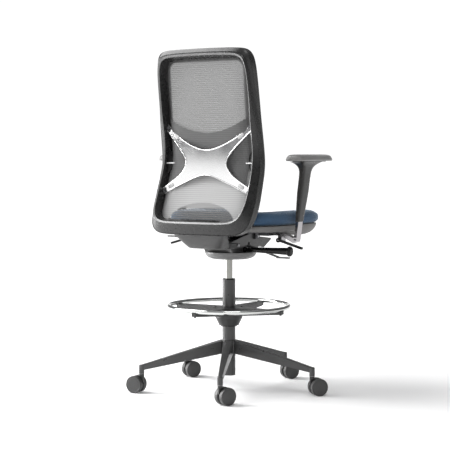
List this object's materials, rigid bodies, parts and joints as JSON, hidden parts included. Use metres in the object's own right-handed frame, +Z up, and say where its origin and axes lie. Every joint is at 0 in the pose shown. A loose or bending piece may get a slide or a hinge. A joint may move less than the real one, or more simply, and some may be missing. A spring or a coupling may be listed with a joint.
{
  "type": "drafting chair",
  "caption": "Drafting chair with a star base on casters, gas lift, foot ring, tilting seat, mesh back with a cross bracket and adjustable arms.",
  "frame": {"origin": "on the floor, on the axis of the gas lift column", "axes": "+Z up, the sitter faces -Y, +X is on the sitter's left"},
  "size_m": [0.7225, 0.7097, 1.296],
  "materials": {
    "cast_dark": "cast aluminium with a fine black powder coat",
    "powder_dark": "fine textured black powder coat",
    "plastic_dark": "fine moulded grain",
    "plastic_grey": "satin charcoal moulding",
    "wheel_black": "hard nylon with a soft tread",
    "chrome": "polished chrome",
    "steel": "zinc-plated steel",
    "steel_black": "blackened steel",
    "aluminium": "polished cast aluminium",
    "mesh": "woven elastic mesh with fine horizontal ribs",
    "fabric_blue": "blue woven upholstery",
    "pad_soft": "soft-touch polyurethane"
  },
  "bodies": {
    "base": {"star_base": "cast_dark", "caster_stems": "steel", "gas_lift_tube": "powder_dark", "guide_bush": "plastic_dark"},
    "caster_1": {"caster_hood_1": "plastic_dark", "caster_axle_1": "steel"},
    "wheel_1_inner": {"caster_wheel_1_inner": "wheel_black"},
    "wheel_1_outer": {"caster_wheel_1_outer": "wheel_black"},
    "caster_2": {"caster_hood_2": "plastic_dark", "caster_axle_2": "steel"},
    "wheel_2_inner": {"caster_wheel_2_inner": "wheel_black"},
    "wheel_2_outer": {"caster_wheel_2_outer": "wheel_black"},
    "caster_3": {"caster_hood_3": "plastic_dark", "caster_axle_3": "steel"},
    "wheel_3_inner": {"caster_wheel_3_inner": "wheel_black"},
    "wheel_3_outer": {"caster_wheel_3_outer": "wheel_black"},
    "caster_4": {"caster_hood_4": "plastic_dark", "caster_axle_4": "steel"},
    "wheel_4_inner": {"caster_wheel_4_inner": "wheel_black"},
    "wheel_4_outer": {"caster_wheel_4_outer": "wheel_black"},
    "caster_5": {"caster_hood_5": "plastic_dark", "caster_axle_5": "steel"},
    "wheel_5_inner": {"caster_wheel_5_inner": "wheel_black"},
    "wheel_5_outer": {"caster_wheel_5_outer": "wheel_black"},
    "lift_spindle": {"piston_rod": "steel"},
    "column": {"gas_cylinder": "chrome", "tilt_housing": "cast_dark", "dish_cover": "plastic_dark", "main_axle": "steel", "seat_axle": "steel", "tension_spring": "steel_black"},
    "foot_rest": {"ring_carrier": "plastic_dark", "foot_ring": "chrome", "ring_screws": "steel_black", "ring_collet": "plastic_dark"},
    "seat_carrier": {"seat_plate": "steel_black"},
    "seat": {"seat_shell": "plastic_grey", "seat_cushion": "fabric_blue"},
    "seat_depth_button": {"seat_depth_button": "plastic_dark"},
    "back": {"back_bracket": "plastic_grey", "bracket_screws": "steel_black", "back_frame": "plastic_grey", "back_mesh": "mesh", "cross_bracket": "aluminium", "cross_screws": "steel_black"},
    "lumbar": {"lumbar_panel": "mesh"},
    "tension_crank": {"tension_crank": "plastic_dark"},
    "height_lever": {"height_lever": "plastic_grey"},
    "release_pin": {"release_pin": "steel"},
    "tilt_lock_lever": {"tilt_lock_lever": "plastic_grey"},
    "arm_right": {"arm_bar_right": "aluminium"},
    "clamp_lever_right": {"clamp_lever_right": "plastic_dark"},
    "arm_post_right": {"arm_sleeve_right": "plastic_dark"},
    "arm_button_right": {"arm_button_right": "plastic_grey"},
    "arm_pad_right": {"arm_pad_right": "pad_soft"},
    "arm_left": {"arm_bar_left": "aluminium"},
    "clamp_lever_left": {"clamp_lever_left": "plastic_dark"},
    "arm_post_left": {"arm_sleeve_left": "plastic_dark"},
    "arm_button_left": {"arm_button_left": "plastic_grey"},
    "arm_pad_left": {"arm_pad_left": "pad_soft"}
  },
  "joints": [
    {"name": "caster_1_swivel", "type": "hinge", "parent": "base", "child": "caster_1", "pos_m": [0.23649, 0.24149, 0.06], "axis": [0, 0, 1], "continuous": true},
    {"name": "wheel_1_inner_spin", "type": "hinge", "parent": "caster_1", "child": "wheel_1_inner", "pos_m": [0.2594, 0.2435, 0.0325], "axis": [-0.0872, 0.9962, 0], "continuous": true},
    {"name": "wheel_1_outer_spin", "type": "hinge", "parent": "caster_1", "child": "wheel_1_outer", "pos_m": [0.2594, 0.2435, 0.0325], "axis": [-0.0872, 0.9962, 0], "continuous": true},
    {"name": "caster_2_swivel", "type": "hinge", "parent": "base", "child": "caster_2", "pos_m": [-0.15659, 0.29954, 0.06], "axis": [0, 0, 1], "continuous": true},
    {"name": "wheel_2_inner_spin", "type": "hinge", "parent": "caster_2", "child": "wheel_2_inner", "pos_m": [-0.16484, 0.27806, 0.0325], "axis": [0.9336, -0.3584, 0], "continuous": true},
    {"name": "wheel_2_outer_spin", "type": "hinge", "parent": "caster_2", "child": "wheel_2_outer", "pos_m": [-0.16484, 0.27806, 0.0325], "axis": [0.9336, -0.3584, 0], "continuous": true},
    {"name": "caster_3_swivel", "type": "hinge", "parent": "base", "child": "caster_3", "pos_m": [-0.33327, -0.05637, 0.06], "axis": [0, 0, 1], "continuous": true},
    {"name": "wheel_3_inner_spin", "type": "hinge", "parent": "caster_3", "child": "wheel_3_inner", "pos_m": [-0.34774, -0.07424, 0.0325], "axis": [0.7771, -0.6293, 0], "continuous": true},
    {"name": "wheel_3_outer_spin", "type": "hinge", "parent": "caster_3", "child": "wheel_3_outer", "pos_m": [-0.34774, -0.07424, 0.0325], "axis": [0.7771, -0.6293, 0], "continuous": true},
    {"name": "caster_4_swivel", "type": "hinge", "parent": "base", "child": "caster_4", "pos_m": [-0.04938, -0.33437, 0.06], "axis": [0, 0, 1], "continuous": true},
    {"name": "wheel_4_inner_spin", "type": "hinge", "parent": "caster_4", "child": "wheel_4_inner", "pos_m": [-0.06053, -0.35449, 0.0325], "axis": [0.8746, -0.4848, 0], "continuous": true},
    {"name": "wheel_4_outer_spin", "type": "hinge", "parent": "caster_4", "child": "wheel_4_outer", "pos_m": [-0.06053, -0.35449, 0.0325], "axis": [0.8746, -0.4848, 0], "continuous": true},
    {"name": "caster_5_swivel", "type": "hinge", "parent": "base", "child": "caster_5", "pos_m": [0.30275, -0.15029, 0.06], "axis": [0, 0, 1], "continuous": true},
    {"name": "wheel_5_inner_spin", "type": "hinge", "parent": "caster_5", "child": "wheel_5_inner", "pos_m": [0.29267, -0.17096, 0.0325], "axis": [0.8988, -0.4384, 0], "continuous": true},
    {"name": "wheel_5_outer_spin", "type": "hinge", "parent": "caster_5", "child": "wheel_5_outer", "pos_m": [0.29267, -0.17096, 0.0325], "axis": [0.8988, -0.4384, 0], "continuous": true},
    {"name": "seat_swivel", "type": "hinge", "parent": "base", "child": "lift_spindle", "pos_m": [0, 0, 0.06], "axis": [0, 0, 1], "continuous": true},
    {"name": "seat_height", "type": "slide", "parent": "lift_spindle", "child": "column", "axis": [0, 0, 1], "range_m": [-0.07, 0.12]},
    {"name": "foot_ring_height", "type": "slide", "parent": "base", "child": "foot_rest", "axis": [0, 0, 1], "range_m": [-0.04, 0.07]},
    {"name": "back_recline", "type": "hinge", "parent": "column", "child": "back", "pos_m": [0, 0.045, 0.556], "axis": [-1, 0, 0], "range_deg": [0, 18], "stiffness_Nm_per_rad": 150, "springref_deg": -14.32},
    {"name": "seat_tilt", "type": "hinge", "parent": "column", "child": "seat_carrier", "pos_m": [0, -0.095, 0.585], "axis": [-1, 0, 0], "range_deg": [0, 7.3]},
    {"name": "seat_depth", "type": "slide", "parent": "seat_carrier", "child": "seat", "axis": [0, -1, 0], "range_m": [-0.03, 0.03]},
    {"name": "seat_depth_release", "type": "slide", "parent": "seat", "child": "seat_depth_button", "axis": [1, 0, 0], "range_m": [0, 0.0025], "stiffness_N_per_m": 300, "springref_m": -0.002},
    {"name": "lumbar_height", "type": "slide", "parent": "back", "child": "lumbar", "axis": [0, -0.0995, 0.995], "range_m": [-0.01, 0.01]},
    {"name": "tension_adjust", "type": "hinge", "parent": "column", "child": "tension_crank", "pos_m": [-0.062, -0.012, 0.5385], "axis": [-1, 0, 0], "continuous": true},
    {"name": "height_lever_lift", "type": "hinge", "parent": "column", "child": "height_lever", "pos_m": [-0.058, -0.045, 0.552], "axis": [0, 1, 0], "range_deg": [0, 5], "stiffness_Nm_per_rad": 3, "springref_deg": -8.59},
    {"name": "release_pin_press", "type": "slide", "parent": "column", "child": "release_pin", "axis": [0, 0, 1], "range_m": [-0.006, 0], "stiffness_N_per_m": 400, "springref_m": 0.002},
    {"name": "tilt_lock_turn", "type": "hinge", "parent": "column", "child": "tilt_lock_lever", "pos_m": [0.062, -0.005, 0.579], "axis": [1, 0, 0], "range_deg": [0, 30]},
    {"name": "arm_width_right", "type": "slide", "parent": "seat_carrier", "child": "arm_right", "axis": [-1, 0, 0], "range_m": [-0.01, 0.01]},
    {"name": "arm_clamp_right", "type": "hinge", "parent": "arm_right", "child": "clamp_lever_right", "pos_m": [-0.197, -0.0485, 0.577], "axis": [0, -1, 0], "range_deg": [0, 12]},
    {"name": "arm_height_right", "type": "slide", "parent": "arm_right", "child": "arm_post_right", "axis": [-0.0819, -0.0973, 0.9919], "range_m": [-0.02, 0.07]},
    {"name": "arm_release_right", "type": "slide", "parent": "arm_post_right", "child": "arm_button_right", "axis": [0, 0.9952, 0.0976], "range_m": [0, 0.0025], "stiffness_N_per_m": 300, "springref_m": -0.002},
    {"name": "arm_pad_slide_right", "type": "slide", "parent": "arm_post_right", "child": "arm_pad_right", "axis": [0, -1, 0], "range_m": [-0.025, 0.025]},
    {"name": "arm_width_left", "type": "slide", "parent": "seat_carrier", "child": "arm_left", "axis": [1, 0, 0], "range_m": [-0.01, 0.01]},
    {"name": "arm_clamp_left", "type": "hinge", "parent": "arm_left", "child": "clamp_lever_left", "pos_m": [0.197, -0.0485, 0.577], "axis": [0, 1, 0], "range_deg": [0, 12]},
    {"name": "arm_height_left", "type": "slide", "parent": "arm_left", "child": "arm_post_left", "axis": [0.0819, -0.0973, 0.9919], "range_m": [-0.02, 0.07]},
    {"name": "arm_release_left", "type": "slide", "parent": "arm_post_left", "child": "arm_button_left", "axis": [0, 0.9952, 0.0976], "range_m": [0, 0.0025], "stiffness_N_per_m": 300, "springref_m": -0.002},
    {"name": "arm_pad_slide_left", "type": "slide", "parent": "arm_post_left", "child": "arm_pad_left", "axis": [0, -1, 0], "range_m": [-0.025, 0.025]}
  ],
  "couplings": [
    {"joint": "seat_tilt", "follows": "back_recline", "ratio": 0.4},
    {"joint": "release_pin_press", "follows": "height_lever_lift", "m_per_rad": -0.058}
  ]
}
